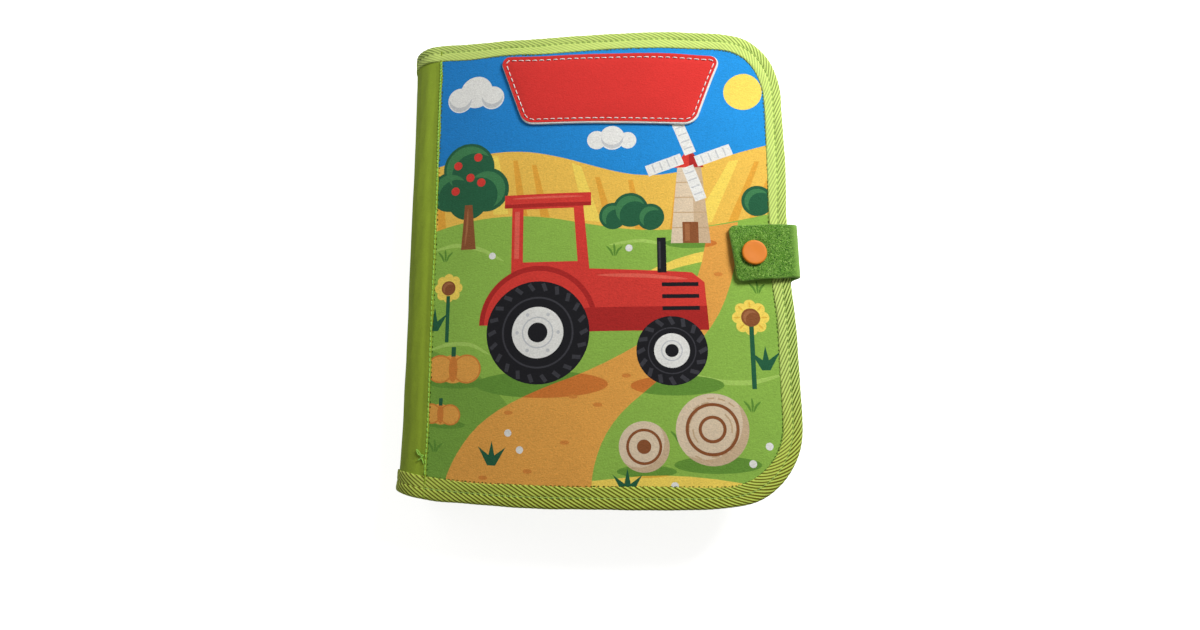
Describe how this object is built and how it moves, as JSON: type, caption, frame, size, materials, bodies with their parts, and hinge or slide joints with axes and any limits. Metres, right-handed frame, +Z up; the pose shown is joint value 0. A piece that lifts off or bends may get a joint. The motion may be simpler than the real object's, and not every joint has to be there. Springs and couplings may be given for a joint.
{
  "type": "soft activity book",
  "caption": "Closed felt activity book with taped covers, a rolled cloth spine, soft leaves, a raised title patch and a strap with a snap.",
  "frame": {"origin": "middle of the underside's bounding box, on the surface that the closed book lies on", "axes": "+X from the spine to the fore-edge, +Y from tail to head, +Z up through the front cover"},
  "size_m": [0.2044, 0.244, 0.0392],
  "materials": {
    "page_felt": "matte",
    "green_felt": "matte",
    "yellow_felt": "matte",
    "red_felt": "matte",
    "dark_green_felt": "matte",
    "spine_cloth": "matte",
    "back_cloth": "matte",
    "tape": "matte",
    "panel_felt": "matte",
    "lining_felt": "matte",
    "print_blue": "matte",
    "print_gold": "matte",
    "print_meadow": "matte",
    "print_yellow": "matte",
    "print_orange": "matte",
    "print_green": "matte",
    "print_cream": "matte",
    "print_brown": "matte",
    "print_red": "matte",
    "print_black": "matte",
    "print_white": "matte",
    "patch_red": "matte",
    "white_thread": "matte",
    "green_thread": "matte",
    "strap_felt": "matte",
    "snap_resin": "satin"
  },
  "bodies": {
    "page_block": {"page_block": "page_felt", "page_hill": "green_felt", "page_sun": "yellow_felt", "page_flower": "red_felt", "page_leaf": "dark_green_felt", "spine_strip": "spine_cloth", "spine_tape_top": "tape", "spine_tape_bottom": "tape"},
    "front_cover": {"front_panel": "panel_felt", "front_lining": "lining_felt", "front_tape": "tape", "print_blue": "print_blue", "print_gold": "print_gold", "print_meadow": "print_meadow", "print_yellow": "print_yellow", "print_orange": "print_orange", "print_green": "print_green", "print_cream": "print_cream", "print_brown": "print_brown", "print_red": "print_red", "print_black": "print_black", "print_white": "print_white", "title_patch": "panel_felt", "title_patch_print": "patch_red", "title_patch_stitches": "white_thread", "seam_stitches": "green_thread", "snap_stud": "snap_resin", "snap_stud_cap": "snap_resin"},
    "back_cover": {"back_panel": "back_cloth", "back_lining": "lining_felt", "back_tape": "tape", "closure_strap": "strap_felt", "strap_stitches": "green_thread", "snap_cap": "snap_resin", "snap_socket": "snap_resin"}
  },
  "joints": [
    {"name": "front_cover_hinge", "type": "hinge", "parent": "page_block", "child": "front_cover", "pos_m": [-0.08465, 0, 0.0343], "axis": [0, -1, 0], "range_deg": [0, 180], "deforming": ["closure_strap"]},
    {"name": "back_cover_hinge", "type": "hinge", "parent": "page_block", "child": "back_cover", "pos_m": [-0.08465, 0, -0.0003], "axis": [0, 1, 0], "range_deg": [0, 180], "deforming": ["closure_strap"]}
  ]
}
